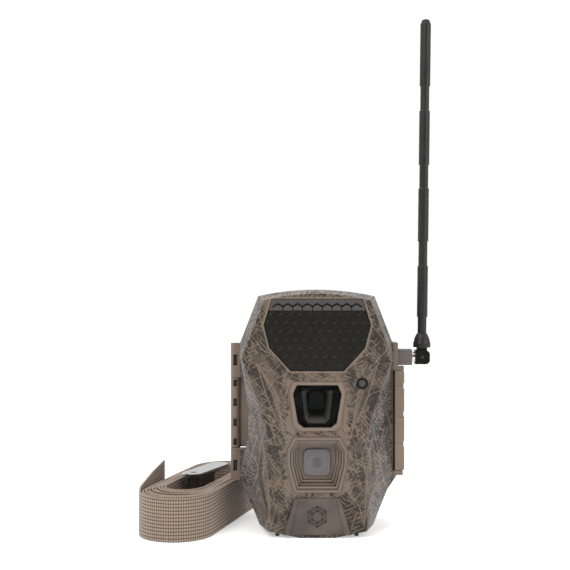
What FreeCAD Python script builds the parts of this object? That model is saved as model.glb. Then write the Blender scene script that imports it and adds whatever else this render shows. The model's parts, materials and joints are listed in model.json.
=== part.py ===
import FreeCAD, Part
import math
import os
import re
import Sketcher

# Trail camera: a two-piece case on a vertical hinge, with its optics, electronics, battery
# cartridge, folding antenna and the rolled webbing strap that lies beside it.
# +X is to the right, +Y to the back, +Z up. The origin is the mouth of the tripod thread,
# in the flat underside of the case. Lengths are in millimetres.

V = FreeCAD.Vector
doc = FreeCAD.newDocument("trail_camera")
sheet = doc.addObject("Spreadsheet::Sheet", "dims")

DIMENSIONS = {
    # Case outline, as half widths and heights above the underside
    "crown_z": 142.2,
    "brow_z": 138.4,
    "brow_half": 34.3,
    "shoulder_z": 111.4,
    "shoulder_half": 44.9,
    "wide_z": 103.5,
    "wide_half": 45.3,
    "waist_top_z": 72.0,
    "waist_low_z": 56.0,
    "waist_half": 40.2,
    "hip_z": 33.0,
    "hip_half": 45.4,
    "chin_z": 10.5,
    "chin_half": 36.2,
    "jaw_z": 3.8,
    "jaw_half": 33.6,
    "sole_half": 12.0,
    # Case depths, measured from the parting plane at y = 0
    "front_depth": 32.0,
    "back_depth": 32.0,
    "bevel_start": 15.0,
    "rear_bevel": 6.0,
    "wall": 3.0,
    "face_wall": 2.5,
    "seam_gap": 0.3,
    # Front bevel: how far the front face's outline stays inside the case outline
    "brow_inset": 4.0,
    "brow_drop": 2.2,
    "shoulder_inset": 4.9,
    "wide_inset": 1.9,
    "waist_top_inset": 8.6,
    "waist_low_inset": 12.6,
    "hip_inset": 17.5,
    "chin_inset": 7.5,
    "jaw_inset": 5.4,
    "sole_inset": 2.0,
    "rear_inset": 3.5,
    # Infrared window
    "window_top_half": 26.0,
    "window_top_z": 137.0,
    "window_wide_half": 30.6,
    "window_wide_z": 122.0,
    "window_knee_half": 27.3,
    "window_knee_z": 109.0,
    "window_low_half": 15.2,
    "window_low_z": 95.7,
    "window_sunk": 0.5,
    "window_thick": 1.8,
    "fit_gap": 0.15,
    # Lens window
    "eye_top_half": 11.8,
    "eye_top_z": 87.7,
    "eye_wide_half": 14.0,
    "eye_wide_z": 82.5,
    "eye_knee_half": 11.2,
    "eye_knee_z": 65.9,
    "eye_low_half": 7.9,
    "eye_low_z": 63.2,
    "eye_rim": 2.0,
    "rim_proud": 1.2,
    "lens_z": 77.5,
    "lens_radius": 5.0,
    "barrel_back": 12.1,
    # Motion sensor bezel
    "sensor_half": 17.1,
    "sensor_flat_half": 13.1,
    "sensor_top_z": 57.7,
    "sensor_low_z": 26.2,
    "sensor_side_top_z": 50.0,
    "sensor_side_low_z": 42.0,
    "sensor_z": 42.4,
    "step_width": 1.45,
    "step_depth": 2.0,
    "pir_half": 7.5,
    # Badge plate
    "badge_top_z": 22.7,
    "badge_top_half": 12.8,
    "badge_low_z": 1.9,
    "badge_low_half": 19.3,
    "badge_thick": 0.6,
    "rib_proud": 1.5,
    # Light sensor
    "photocell_x": 25.8,
    "photocell_z": 88.6,
    "photocell_radius": 3.2,
    # Hinge
    "hinge_x": 48.4,
    "barrel_radius": 2.9,
    "hinge_pin_radius": 1.25,
    "pin_gap": 0.05,
    "knuckle_low_z": 27.5,
    "knuckle_split_low_z": 46.9,
    "knuckle_split_top_z": 89.4,
    "knuckle_top_z": 110.0,
    # Latch
    "latch_in_x": 46.8,
    "latch_out_x": 52.5,
    "latch_low_z": 35.2,
    "latch_top_z": 94.1,
    "latch_front_y": 12.0,
    "latch_pin_x": 49.4,
    "latch_pin_y": 10.0,
    "latch_pin_radius": 1.2,
    "latch_back_y": 6.2,
    "latch_gap": 0.3,
    "flange_half": 46.5,
    "flange_thick": 2.5,
    "rail_half": 46.0,
    "rail_depth": 9.5,
    # Antenna
    "antenna_y": 8.0,
    "antenna_z": 102.1,
    "boss_half": 4.7,
    "boss_out_x": 56.9,
    "knuckle_in_x": 59.0,
    "knuckle_out_x": 67.5,
    "knuckle_half": 4.15,
    "whip_x": 63.1,
    "whip_lean": 0.7,
    "jack_radius": 3.1,
    "tongue_thick": 4.0,
    "tongue_radius": 3.0,
    "elbow_pin_radius": 1.0,
    # Boards and control panel
    "board_thick": 1.6,
    "main_board_y": 12.0,
    "panel_front_y": 6.0,
    "panel_thick": 1.6,
    "panel_half": 33.0,
    "panel_low_z": 37.0,
    "panel_top_z": 129.8,
    "screw_radius": 2.3,
    "screw_head": 1.3,
    # Batteries: eight AA cells in two layers of four
    "cell_radius": 7.0,
    "cell_length": 50.5,
    "cell_pitch": 14.15,
    "nub_height": 1.4,
    "nub_radius": 2.6,
    "tray_half": 30.4,
    "tray_depth": 28.7,
    "tray_low_z": 14.5,
    "tray_height": 55.0,
    "tray_wall": 2.0,
    # Tripod thread, 1/4-20 UNC
    "thread_radius": 2.6,
    "thread_depth": 8.0,
    "insert_radius": 5.0,
    # Strap, 1 inch webbing rolled into a long oval round a hollow for the buckle
    "webbing_width": 25.4,
    "roll_x": -70.0,
    "roll_y": 17.0,
    "roll_turn": 73.0,
    "roll_length": 125.0,
    "roll_width": 45.0,
    "hollow_x": 7.5,
    "hollow_y": 0.75,
    "hollow_length": 84.0,
    "hollow_width": 22.5,
    "tail_start": 34.0,
    "tail_end": 4.0,
    "tail_top_z": 36.0,
    # Cam buckle inside the roll
    "buckle_along": 13.5,
    "buckle_across": 2.8,
    "buckle_turn": 66.0,
    "cheek_length": 46.0,
    "cheek_width": 12.4,
    "cheek_chamfer": 4.0,
    "cheek_thick": 2.2,
    "cam_x": 16.0,
    "cam_radius": 4.2,
    "cam_pin_radius": 2.0,
    "buckle_low_z": 0.4,
    "buckle_top_z": 28.6,
}

FUNCTIONS = {"sin", "cos", "tan", "sqrt"}
NODES = {}


def fill_sheet():
    """Write every driving dimension into the sheet, with its alias."""
    for row, (alias, value) in enumerate(DIMENSIONS.items(), start=1):
        sheet.set("A%d" % row, alias)
        sheet.set("B%d" % row, str(value))
        sheet.setAlias("B%d" % row, alias)
    doc.recompute()


def bound(formula):
    """A formula in plain dimension names, as a document expression."""
    def cell(word):
        return word.group() if word.group() in FUNCTIONS else "dims." + word.group()
    return re.sub(r"[a-z][a-z_]*", cell, str(formula))


def number(formula):
    """The present value of a formula."""
    return float(sheet.evalExpression(bound(formula)))


def bind(thing, **formulas):
    """Bind properties of an object to formulas."""
    for name, formula in formulas.items():
        thing.setExpression(name, bound(formula))


def place(thing, x, y, z):
    """Bind an object's position to three formulas."""
    for axis, formula in zip("xyz", (x, y, z)):
        thing.setExpression("Placement.Base." + axis, bound(formula))


def node(name, thing):
    """Keep an object as a finished sub-part."""
    thing.Label = name
    NODES[name] = thing
    return thing


# ---------------------------------------------------------------- solids from primitives

def block(x, y, z, name="block"):
    """A box between pairs of formulas along each axis."""
    box = doc.addObject("Part::Box", name)
    bind(box, Length="(%s) - (%s)" % (x[1], x[0]))
    bind(box, Width="(%s) - (%s)" % (y[1], y[0]))
    bind(box, Height="(%s) - (%s)" % (z[1], z[0]))
    place(box, x[0], y[0], z[0])
    return box


def rod(axis, start, length, radius, name="rod"):
    """A cylinder from a start point along an axis."""
    turns = {"x": (V(0, 1, 0), 90), "y": (V(1, 0, 0), -90), "z": (V(0, 0, 1), 0)}
    cylinder = doc.addObject("Part::Cylinder", name)
    cylinder.Placement = FreeCAD.Placement(V(), FreeCAD.Rotation(*turns[axis]))
    bind(cylinder, Radius=radius, Height=length)
    place(cylinder, *start)
    return cylinder


def fuse(*things):
    """One solid from several that touch."""
    union = doc.addObject("Part::MultiFuse", "fuse")
    union.Shapes = list(things)
    return union


def cut(base, *tools):
    """A solid with one or more tools taken away."""
    difference = doc.addObject("Part::Cut", "cut")
    difference.Base = base
    difference.Tool = tools[0] if len(tools) == 1 else fuse(*tools)
    return difference


def group(*things):
    """Separate solids that share one node."""
    compound = doc.addObject("Part::Compound", "group")
    compound.Links = list(things)
    return compound


def fillet(base, radius, chosen):
    """Round the edges that a test picks out."""
    doc.recompute()
    rounding = doc.addObject("Part::Fillet", "fillet")
    rounding.Base = base
    edges = base.Shape.Edges
    rounding.Edges = [(i, radius, radius) for i, edge in enumerate(edges, 1) if chosen(edge)]
    return rounding


def along(axis):
    """A test for straight edges along an axis."""
    index = "xyz".index(axis)

    def test(edge):
        if not isinstance(edge.Curve, Part.Line):
            return False
        return abs(abs(edge.Curve.Direction[index]) - 1) < 1e-6
    return test


# ---------------------------------------------------------------- sketched bodies

def new_body(name):
    """An empty part-design body."""
    return doc.addObject("PartDesign::Body", name)


def sketch(body, plane, offset):
    """A sketch on one of the body's origin planes, moved along the plane's normal."""
    drawing = body.newObject("Sketcher::SketchObject", "sketch")
    planes = body.Origin.OriginFeatures
    base = next(feature for feature in planes if feature.Role == plane)
    drawing.AttachmentSupport = [(base, "")]
    drawing.MapMode = "FlatFace"
    drawing.setExpression("AttachmentOffset.Base.z", bound(offset))
    return drawing


def join_edges(drawing, one, other):
    """Make two edges meet at their nearest ends."""
    ends = [(i, j) for i in (1, 2) for j in (1, 2)]
    i, j = min(ends, key=lambda pair: drawing.getPoint(one, pair[0]).distanceToPoint(
        drawing.getPoint(other, pair[1])))
    drawing.addConstraint(Sketcher.Constraint("Coincident", one, i, other, j))


def fix_vertex(drawing, edge, x, y):
    """Tie the vertex where an edge begins to two formulas."""
    target = V(number(x), number(y), 0)
    end = min((1, 2), key=lambda i: drawing.getPoint(edge, i).distanceToPoint(target))
    for kind, formula in (("DistanceX", x), ("DistanceY", y)):
        constraint = Sketcher.Constraint(kind, -1, 1, edge, end, number(formula))
        index = drawing.addConstraint(constraint)
        drawing.setExpression("Constraints[%d]" % index, bound(formula))


def loop(drawing, points, arcs=None):
    """A closed outline. arcs gives an edge's half chord and rise, outwards if counterclockwise."""
    arcs = arcs or {}
    corners = [V(number(x), number(y), 0) for x, y in points]
    first = drawing.GeometryCount
    count = len(points)
    for i, start in enumerate(corners):
        end = corners[(i + 1) % count]
        if i in arcs:
            outwards = (end - start).cross(V(0, 0, 1)).normalize()
            middle = (start + end) * 0.5 + outwards * number(arcs[i][1])
            drawing.addGeometry(Part.Arc(start, middle, end), False)
        else:
            drawing.addGeometry(Part.LineSegment(start, end), False)
    for i in range(count):
        join_edges(drawing, first + i, first + (i + 1) % count)
        fix_vertex(drawing, first + i, *points[i])
    for i, (half, rise) in arcs.items():
        radius = "((%s)^2 + (%s)^2) / (2 * (%s))" % (half, rise, rise)
        index = drawing.addConstraint(Sketcher.Constraint("Radius", first + i, number(radius)))
        drawing.setExpression("Constraints[%d]" % index, bound(radius))


def pad(body, drawing, length, backwards=False):
    """Thicken a sketch along its plane's normal, or against it."""
    feature = body.newObject("PartDesign::Pad", "pad")
    feature.Profile = drawing
    feature.Reversed = backwards
    bind(feature, Length=length)
    return feature


def loft(body, sections, kind="Additive"):
    """A ruled solid, or a ruled hollow, through sketches."""
    feature = body.newObject("PartDesign::%sLoft" % kind, "loft")
    feature.Profile = sections[0]
    feature.Sections = sections[1:]
    feature.Ruled = True
    return feature


def plate(name, points, front, back, arcs=None):
    """A flat plate that faces the front, between two depths given as formulas for y."""
    body = new_body(name)
    drawing = sketch(body, "XZ_Plane", "-(%s)" % back)
    loop(drawing, points, arcs)
    pad(body, drawing, "(%s) - (%s)" % (back, front))
    return body


def mirrored_outline(right_side):
    """A closed outline from its right-hand points, listed from the bottom up."""
    left_side = [("-(%s)" % x, z) for x, z in reversed(right_side)]
    return right_side + left_side


def rectangle(x, z):
    """The four corners of a rectangle between pairs of formulas."""
    return [(x[0], z[0]), (x[1], z[0]), (x[1], z[1]), (x[0], z[1])]


# ---------------------------------------------------------------- the case outline

# Half width, height, how much of a wall's thickness raises that height, and front bevel
CASE_LEVELS = (
    ("sole_half", "0", 1.0, "sole_inset"),
    ("jaw_half", "jaw_z", 0.8, "jaw_inset"),
    ("chin_half", "chin_z", 0.0, "chin_inset"),
    ("hip_half", "hip_z", 0.0, "hip_inset"),
    ("waist_half", "waist_low_z", 0.0, "waist_low_inset"),
    ("waist_half", "waist_top_z", 0.0, "waist_top_inset"),
    ("wide_half", "wide_z", 0.0, "wide_inset"),
    ("shoulder_half", "shoulder_z", 0.0, "shoulder_inset"),
    ("brow_half", "brow_z", -1.0, "brow_inset"),
)
BASE_LEVELS = 4


def case_side(inset, face=False):
    """Right-hand points of the case outline, drawn in by a wall or by the front bevel."""
    points = []
    for half, height, rise, bevel in CASE_LEVELS:
        drawn_in = "%s + %s" % (inset, bevel) if face else inset
        points.append(("%s - (%s)" % (half, drawn_in), "%s + (%s) * %r" % (height, inset, rise)))
    if face:
        points[-1] = (points[-1][0], points[-1][1] + " - brow_drop")
    return points


def upper_side(inset, low):
    """Right-hand points of the outline above a level near the hip."""
    return [("hip_half - (%s)" % inset, low)] + case_side(inset)[BASE_LEVELS:]


def crowned(drawing, side):
    """The closed outline of a side and its mirror image, crowned by a shallow arc."""
    loop(drawing, mirrored_outline(side), {len(side) - 1: (side[-1][0], "crown_z - brow_z")})


def case_sketch(body, offset, inset, face=False):
    """The whole case outline in a plane facing the front."""
    drawing = sketch(body, "XZ_Plane", offset)
    crowned(drawing, case_side(inset, face))
    return drawing


fill_sheet()


# ---------------------------------------------------------------- main housing

WINDOW = mirrored_outline([
    ("window_low_half", "window_low_z"),
    ("window_knee_half", "window_knee_z"),
    ("window_wide_half", "window_wide_z"),
    ("window_top_half", "window_top_z"),
])
EYE = mirrored_outline([
    ("eye_low_half", "eye_low_z"),
    ("eye_knee_half", "eye_knee_z"),
    ("eye_wide_half", "eye_wide_z"),
    ("eye_top_half", "eye_top_z"),
])
BADGE = mirrored_outline([("badge_low_half", "badge_low_z"), ("badge_top_half", "badge_top_z")])


def scaled(points, growth):
    """An outline with every half width moved out, and its top and bottom with them."""
    heights = [number(z) for _, z in points]
    middle = (max(heights) + min(heights)) / 2
    grown = []
    for x, z in points:
        outwards = "-" if x.startswith("-") else "+"
        upwards = "+" if number(z) > middle else "-"
        grown.append(("%s %s (%s)" % (x, outwards, growth),
                      "%s %s (%s) * 0.8" % (z, upwards, growth)))
    return grown


def sensor_outline(inset):
    """The motion sensor's octagon, drawn in by an inset."""
    flat = "sensor_flat_half - (%s) * 0.8" % inset
    side = "sensor_half - (%s)" % inset
    return mirrored_outline([
        (flat, "sensor_low_z + (%s)" % inset),
        (side, "sensor_side_low_z"),
        (side, "sensor_side_top_z"),
        (flat, "sensor_top_z - (%s)" % inset),
    ])


def window_hole(body, points):
    """Cut an outline through the front face."""
    drawing = sketch(body, "XZ_Plane", "0")
    loop(drawing, points)
    hole = body.newObject("PartDesign::Pocket", "hole")
    hole.Profile = drawing
    hole.Type = 1
    hole.Reversed = True
    return hole


def front_shell():
    """The hollow front of the case, bevelled from the parting line to the front face."""
    body = new_body("front_shell")
    loft(body, [case_sketch(body, "0", "0"), case_sketch(body, "bevel_start", "0"),
                case_sketch(body, "front_depth", "0", True)])
    loft(body, [case_sketch(body, "0", "wall"), case_sketch(body, "bevel_start", "wall"),
                case_sketch(body, "front_depth - face_wall", "wall", True)], "Subtractive")
    for points in (scaled(WINDOW, "fit_gap"), scaled(EYE, "eye_rim / 2"), sensor_outline("1.0")):
        window_hole(body, points)
    return body


def base_section(body, y, inset, top_z, rear=False):
    """The outline of the base below the door, at a depth behind the parting plane."""
    drawn_in = "%s + rear_inset" % inset if rear else inset
    widths = [x for x, _ in case_side(drawn_in)[:BASE_LEVELS]]
    heights = [z for _, z in case_side(inset)[:BASE_LEVELS - 1]] + [top_z]
    drawing = sketch(body, "XZ_Plane", "-(%s)" % y)
    loop(drawing, mirrored_outline(list(zip(widths, heights))))
    return drawing


def base_shell():
    """The deep base behind the front shell, open at the top for the battery cartridge."""
    body = new_body("base_shell")
    bevel_y = "back_depth - rear_bevel"
    loft(body, [base_section(body, "0", "0", "hip_z"),
                base_section(body, bevel_y, "0", "hip_z"),
                base_section(body, "back_depth", "0", "hip_z", True)])
    loft(body, [base_section(body, "0", "wall", "hip_z + 1"),
                base_section(body, bevel_y, "wall", "hip_z + 1"),
                base_section(body, "back_depth - wall", "wall", "hip_z + 1", True)], "Subtractive")
    return body


def knuckle(low_z, top_z, side):
    """One hinge knuckle and the web that joins it to its shell; side is -1 front, 1 back."""
    length = "(%s) - (%s)" % (top_z, low_z)
    barrel = rod("z", ("-hinge_x", "0", low_z), length, "barrel_radius")
    depths = ("-barrel_radius", "-seam_gap") if side < 0 else ("seam_gap", "barrel_radius")
    web = block(("-hinge_x", "-waist_half + 1"), depths, (low_z, top_z))
    return fuse(barrel, web)


def hinge_slots(spans):
    """Slots in the front of a knuckle that show the pin inside it."""
    return [block(("-hinge_x - 1.3", "-hinge_x + 1.3"), ("-barrel_radius - 1", "-1.0"), span)
            for span in spans]


def hinge_bore():
    """The bore that takes the hinge pin."""
    length = "knuckle_top_z - knuckle_low_z"
    return rod("z", ("-hinge_x", "0", "knuckle_low_z + 1"), length, "hinge_pin_radius + pin_gap")


BOARD_SCREWS = (("-21.5", "91"), ("21.5", "72"), ("-20.8", "50"), ("20.8", "50"))
FOOT_X, FOOT_Y = "22.9", "26"


def rubber_feet():
    """Four small studs let into the rising edges of the underside."""
    return group(*[rod("z", (sign_x + FOOT_X, sign_y + FOOT_Y, "0"), "3.4", "1.2")
                   for sign_x in ("-", "") for sign_y in ("-", "")])


def latch_mounts():
    """The rail, flange, gusset and lugs beside the case that the latch works against."""
    low, top = "hip_z - 1.5", "latch_top_z"
    inner = "waist_half - 1"
    flange = block((inner, "flange_half"), ("-flange_thick", "0"), (low, top))
    rail = block((inner, "rail_half"), ("-rail_depth", "0"), (low, top))
    gusset = plate("gusset", [("38", "16.5"), ("49.4", "33.8"), ("49.4", "34.6"), ("43", "34.6")],
                   "-rail_depth", "0")
    lug_y = ("-latch_front_y", "-latch_pin_y + 3")
    lower_lug = block(("43", "latch_pin_x + 2"), lug_y, ("latch_low_z - 3", "latch_low_z - latch_gap"))
    upper_lug = block(("waist_half", "latch_out_x - 0.4"), lug_y,
                      ("latch_top_z + latch_gap", "latch_top_z + 2.6"))
    return [flange, rail, gusset, lower_lug, upper_lug]


def front_housing(seal, feet):
    """The camouflaged main moulding, which carries the hinge, the latch and all the electronics.

    The seal's groove and the sockets of the feet take the shape of what they hold.
    """
    bottom_knuckle = knuckle("knuckle_low_z", "knuckle_split_low_z", -1)
    top_knuckle = knuckle("knuckle_split_top_z", "knuckle_top_z", -1)
    shelf = block(("-hinge_x", "-waist_half - 0.6"), ("-barrel_radius - 0.6", "-seam_gap"),
                  ("knuckle_split_low_z - 1.4", "knuckle_split_low_z"))
    tab = block(("wide_half - 4", "48.3"), ("-14.5", "0"), ("latch_top_z + 2", "shoulder_z - 0.6"))
    posts = [rod("y", (x, "-front_depth + 2", z), "front_depth - 14", "2.8")
             for x, z in BOARD_SCREWS]
    core = block(("-insert_radius - 2.5", "insert_radius + 2.5"), ("-7.5", "7.5"),
                 ("0", "thread_depth + 1.5"))
    body = fuse(front_shell(), base_shell(), bottom_knuckle, top_knuckle, shelf, tab, core,
                *(latch_mounts() + posts))
    jack_bore = rod("x", ("38", "-antenna_y", "antenna_z"), "12", "jack_radius + pin_gap")
    insert_bore = rod("z", ("0", "0", "-1"), "thread_depth + 1.2", "insert_radius")
    cell_bore = rod("y", ("photocell_x", "-front_depth - 1", "photocell_z"), "8",
                    "photocell_radius + 0.1")
    slots = hinge_slots([("96.6", "103.2"), ("33.1", "39.7")])
    return cut(body, hinge_bore(), latch_bore(), jack_bore, insert_bore, cell_bore, seal, feet,
               *slots)


def latch_bore():
    """The bore through the lever and into both lugs for the latch pin."""
    return rod("z", ("latch_pin_x", "-latch_pin_y", "latch_low_z - 2"),
               "latch_top_z - latch_low_z + 4", "latch_pin_radius + pin_gap")


# ---------------------------------------------------------------- rear door

def door_sketch(body, y, inset, low="hip_z + seam_gap"):
    """The door's outline at a depth behind the parting plane."""
    drawing = sketch(body, "XZ_Plane", "-(%s)" % y)
    crowned(drawing, upper_side(inset, low))
    return drawing


def rear_shell():
    """The hollow door, open towards the front and at its foot."""
    body = new_body("rear_shell")
    bevel_y = "back_depth - rear_bevel"
    loft(body, [door_sketch(body, "seam_gap", "0.3"),
                door_sketch(body, bevel_y, "0.3"),
                door_sketch(body, "back_depth", "0.3 + rear_inset")])
    low = "hip_z - 1"
    loft(body, [door_sketch(body, "seam_gap", "wall", low),
                door_sketch(body, bevel_y, "wall", low),
                door_sketch(body, "back_depth - face_wall", "wall + rear_inset", low)],
         "Subtractive")
    return body


def strap_bar(x):
    """One upright bar behind the door, that the mounting strap passes under."""
    bar = block((x, "%s + 6" % x), ("back_depth + 4.5", "back_depth + 7.5"), ("55", "94"))
    feet = [block((x, "%s + 6" % x), ("back_depth - 1", "back_depth + 7.5"), span)
            for span in (("51", "57.5"), ("91.5", "98"))]
    return fuse(bar, *feet)


def rear_door():
    """The back half of the case, with its hinge knuckle, latch flange and strap bars."""
    middle = knuckle("knuckle_split_low_z + seam_gap", "knuckle_split_top_z - seam_gap", 1)
    flange = block(("waist_half - 1", "flange_half"), ("seam_gap", "flange_thick + seam_gap"),
                   ("hip_z + 1", "latch_top_z"))
    body = fuse(rear_shell(), middle, flange, strap_bar("24"), strap_bar("-30"))
    slots = hinge_slots([("84.0", "87.9"), ("72.1", "76.7"), ("60.0", "64.6"), ("48.6", "52.6")])
    return cut(body, hinge_bore(), *slots)


# ---------------------------------------------------------------- front face pieces

def lens_bezel():
    """The raised rim around the lens window."""
    body = new_body("lens_bezel")
    drawing = sketch(body, "XZ_Plane", "front_depth")
    loop(drawing, scaled(EYE, "eye_rim"))
    loop(drawing, EYE)
    pad(body, drawing, "rim_proud")
    neck = sketch(body, "XZ_Plane", "front_depth - face_wall")
    loop(neck, scaled(EYE, "eye_rim / 2 - fit_gap"))
    loop(neck, EYE)
    pad(body, neck, "face_wall + 0.1")
    return body


def lens_hood():
    """The flared shroud between the window and the lens."""
    outer = block(("-eye_wide_half - 0.5", "eye_wide_half + 0.5"),
                  ("-front_depth + face_wall + 0.2", "-front_depth + barrel_back - 0.1"),
                  ("eye_low_z - 1", "eye_top_z + 1"))
    flare = new_body("flare")
    mouth = sketch(flare, "XZ_Plane", "front_depth - face_wall + 0.1")
    loop(mouth, mirrored_outline([("5.0", "eye_low_z + 1.6"), ("7.2", "eye_low_z + 4.0"),
                                  ("9.4", "eye_top_z - 4.0"), ("8.6", "eye_top_z - 2.0")]))
    throat = sketch(flare, "XZ_Plane", "front_depth - barrel_back")
    loop(throat, mirrored_outline([("2.6", "lens_z - 5.2"), ("4.4", "lens_z - 3.4"),
                                   ("4.4", "lens_z + 3.0"), ("2.6", "lens_z + 4.8")]))
    loft(flare, [mouth, throat])
    return cut(outer, flare)


def pir_bezel():
    """The stepped octagonal funnel around the motion sensor's lens."""
    body = new_body("pir_bezel")
    rim = sketch(body, "XZ_Plane", "front_depth")
    loop(rim, sensor_outline("0"))
    pad(body, rim, "rim_proud")
    neck = sketch(body, "XZ_Plane", "front_depth - 8.5")
    loop(neck, sensor_outline("1.0 + fit_gap"))
    pad(body, neck, "8.6")
    for step in range(4):
        inset = "1.5 + step_width * %d" % step
        drawing = sketch(body, "XZ_Plane", "front_depth + rim_proud + 0.5")
        loop(drawing, sensor_outline(inset))
        recess = body.newObject("PartDesign::Pocket", "recess")
        recess.Profile = drawing
        floor = "step_depth * %d + 1.0" % step if step else "0"
        bind(recess, Length="0.5 + rim_proud + " + floor)
    opening = sketch(body, "XZ_Plane", "front_depth + 1")
    loop(opening, rectangle(("-pir_half + 1", "pir_half - 1"),
                            ("sensor_z - pir_half + 1", "sensor_z + pir_half - 1")))
    through = body.newObject("PartDesign::Pocket", "through")
    through.Profile = opening
    through.Type = 1
    return body


def pir_lens():
    """The milky square lens, rounded at its corners, seated in the bezel's floor."""
    body = block(("-pir_half", "pir_half"), ("-front_depth + 5.6", "-front_depth + 7.0"),
                 ("sensor_z - pir_half", "sensor_z + pir_half"))
    return fillet(body, 3.0, along("y"))


def badge_plate():
    """The plain panel below the motion sensor, with a raised rib down each side."""
    panel = plate("badge_panel", BADGE, "-front_depth - badge_thick", "-front_depth")
    ribs = []
    for side in ("", "-"):
        low, top = "%s(badge_low_half" % side, "%s(badge_top_half" % side
        points = [(low + " - 3.4)", "badge_low_z"), (low + ")", "badge_low_z"),
                  (top + ")", "badge_top_z"), (top + " - 1.8)", "badge_top_z")]
        ribs.append(plate("rib", points, "-front_depth - rib_proud", "-front_depth - badge_thick"))
    return fuse(panel, *ribs)


def light_sensor():
    """The dark ring of the ambient light sensor."""
    ring = rod("y", ("photocell_x", "-front_depth - 0.5", "photocell_z"), "3.6", "photocell_radius")
    bore = rod("y", ("photocell_x", "-front_depth - 1", "photocell_z"), "1.6", "2.1")
    return cut(ring, bore)


LED_ROWS = ((104, 4), (111, 5), (118, 6), (125, 5), (132, 4))
LED_PITCH = 8.4


def led_array():
    """Infrared emitters in staggered rows behind the window."""
    leds = []
    for z, count in LED_ROWS:
        for i in range(count):
            x = (i - (count - 1) / 2) * LED_PITCH
            leds.append(rod("y", (str(x), "-front_depth + 5.5", str(z)), "3.2", "1.7"))
    return group(*leds)


# ---------------------------------------------------------------- electronics

def board(x, front_y, z):
    """A flat circuit board facing the front."""
    return block(x, (front_y, "%s + board_thick" % front_y), z)


def tube_path(points):
    """Straight runs joined by tangent arcs, each as large as its two runs allow."""
    edges = []
    start = points[0]
    for before, corner, after in zip(points, points[1:], points[2:]):
        run_in, run_out = corner - before, after - corner
        half_turn = run_in.getAngle(run_out) / 2
        reach = 0.45 * min(run_in.Length, run_out.Length)
        enter = corner - V(run_in).normalize() * reach
        leave = corner + V(run_out).normalize() * reach
        radius = reach / math.tan(half_turn)
        towards = ((enter + leave) * 0.5 - corner).normalize()
        middle = corner + towards * (radius / math.cos(half_turn) - radius)
        edges.append(Part.LineSegment(start, enter).toShape())
        edges.append(Part.Arc(enter, middle, leave).toShape())
        start = leave
    edges.append(Part.LineSegment(start, points[-1]).toShape())
    return Part.Wire(edges)


def coax_cable():
    """The pigtail from the radio module to the antenna jack."""
    y, z = -number("antenna_y"), number("antenna_z")
    points = [V(18.4, -17.0, 116), V(26, -17.0, 116), V(33, -14.5, 111), V(36.5, y, z),
              V(40.8, y, z)]
    path = tube_path(points)
    ring = Part.Wire([Part.Circle(points[0], V(1, 0, 0), 0.9).toShape()])
    cable = doc.addObject("Part::Feature", "coax")
    cable.Shape = path.makePipeShell([ring], True, False)
    return cable


BUTTON_PLACES = {"button_up": ("-6", "90"), "button_down": ("-6", "76"),
                 "button_menu": ("-13", "83"), "button_ok": ("1", "83")}
PANEL_SCREWS = (("-29.5", "44"), ("29.5", "44"), ("-29.5", "57"), ("29.5", "57"))


def control_panel():
    """The inner panel behind the parting plane, with its screen window and button holes."""
    panel = block(("-panel_half", "panel_half"),
                  ("-panel_front_y", "-panel_front_y + panel_thick"),
                  ("panel_low_z", "panel_top_z"))
    screen = block(("-31", "5"), ("-8", "0"), ("99.5", "126.5"))
    holes = [rod("y", (x, "-8", z), "8", "2.9") for x, z in BUTTON_PLACES.values()]
    switch_slot = block(("-30", "-20"), ("-8", "0"), ("90.5", "94.5"))
    screws = [rod("y", (x, "-8", z), "8", "1.3") for x, z in PANEL_SCREWS]
    return cut(panel, screen, switch_slot, *(holes + screws))


def push_button(x, z):
    """A round key cap with a wider foot behind the panel."""
    cap = rod("y", (x, "-panel_front_y - 0.6", z), "4.2", "2.6")
    foot = rod("y", (x, "-panel_front_y - 1.2", z), "0.9", "3.4")
    return fuse(cap, foot)


def mode_switch():
    """The three-way slide switch's knob."""
    return block(("-26.6", "-23.4"), ("-panel_front_y - 1.2", "-2.6"), ("90.8", "94.2"))


def card_socket(x, z):
    """An open-topped card holder on the panel's back."""
    outer = block(x, ("-panel_front_y + panel_thick", "-0.8"), z)
    slot = block(("%s + 1.0" % x[0], "%s - 1.0" % x[1]), ("-3.7", "-1.3"),
                 ("%s + 1.2" % z[0], "%s + 1" % z[1]))
    return cut(outer, slot)


def gasket():
    """The seal around the parting line, down both sides and over the top."""
    body = new_body("seal")
    drawing = sketch(body, "XZ_Plane", "-0.15")
    crowned(drawing, upper_side("0.8", "hip_z + 0.2"))
    pad(body, drawing, "1.35")
    hollow = sketch(body, "XZ_Plane", "-0.15")
    crowned(hollow, upper_side("2.2", "hip_z - 1"))
    inside = body.newObject("PartDesign::Pocket", "inside")
    inside.Profile = hollow
    inside.Type = 1
    inside.Reversed = True
    return body


# ---------------------------------------------------------------- battery cartridge

def cell_centres():
    """Centres of the eight upright cells, two layers of four."""
    for layer in range(2):
        for column in range(4):
            x = "(%r) * cell_pitch" % (column - 1.5)
            y = "cell_radius + 0.4 + %d * cell_pitch" % layer
            yield x, y


def batteries():
    """Eight AA cells."""
    low = "tray_low_z + tray_wall + 0.3"
    cells = []
    for x, y in cell_centres():
        can = rod("z", (x, y, low), "cell_length - 1.6", "cell_radius - 0.1")
        nub = rod("z", (x, y, "%s + cell_length - 1.6" % low), "nub_height", "nub_radius")
        cells.append(fuse(can, nub))
    return group(*cells)


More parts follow.
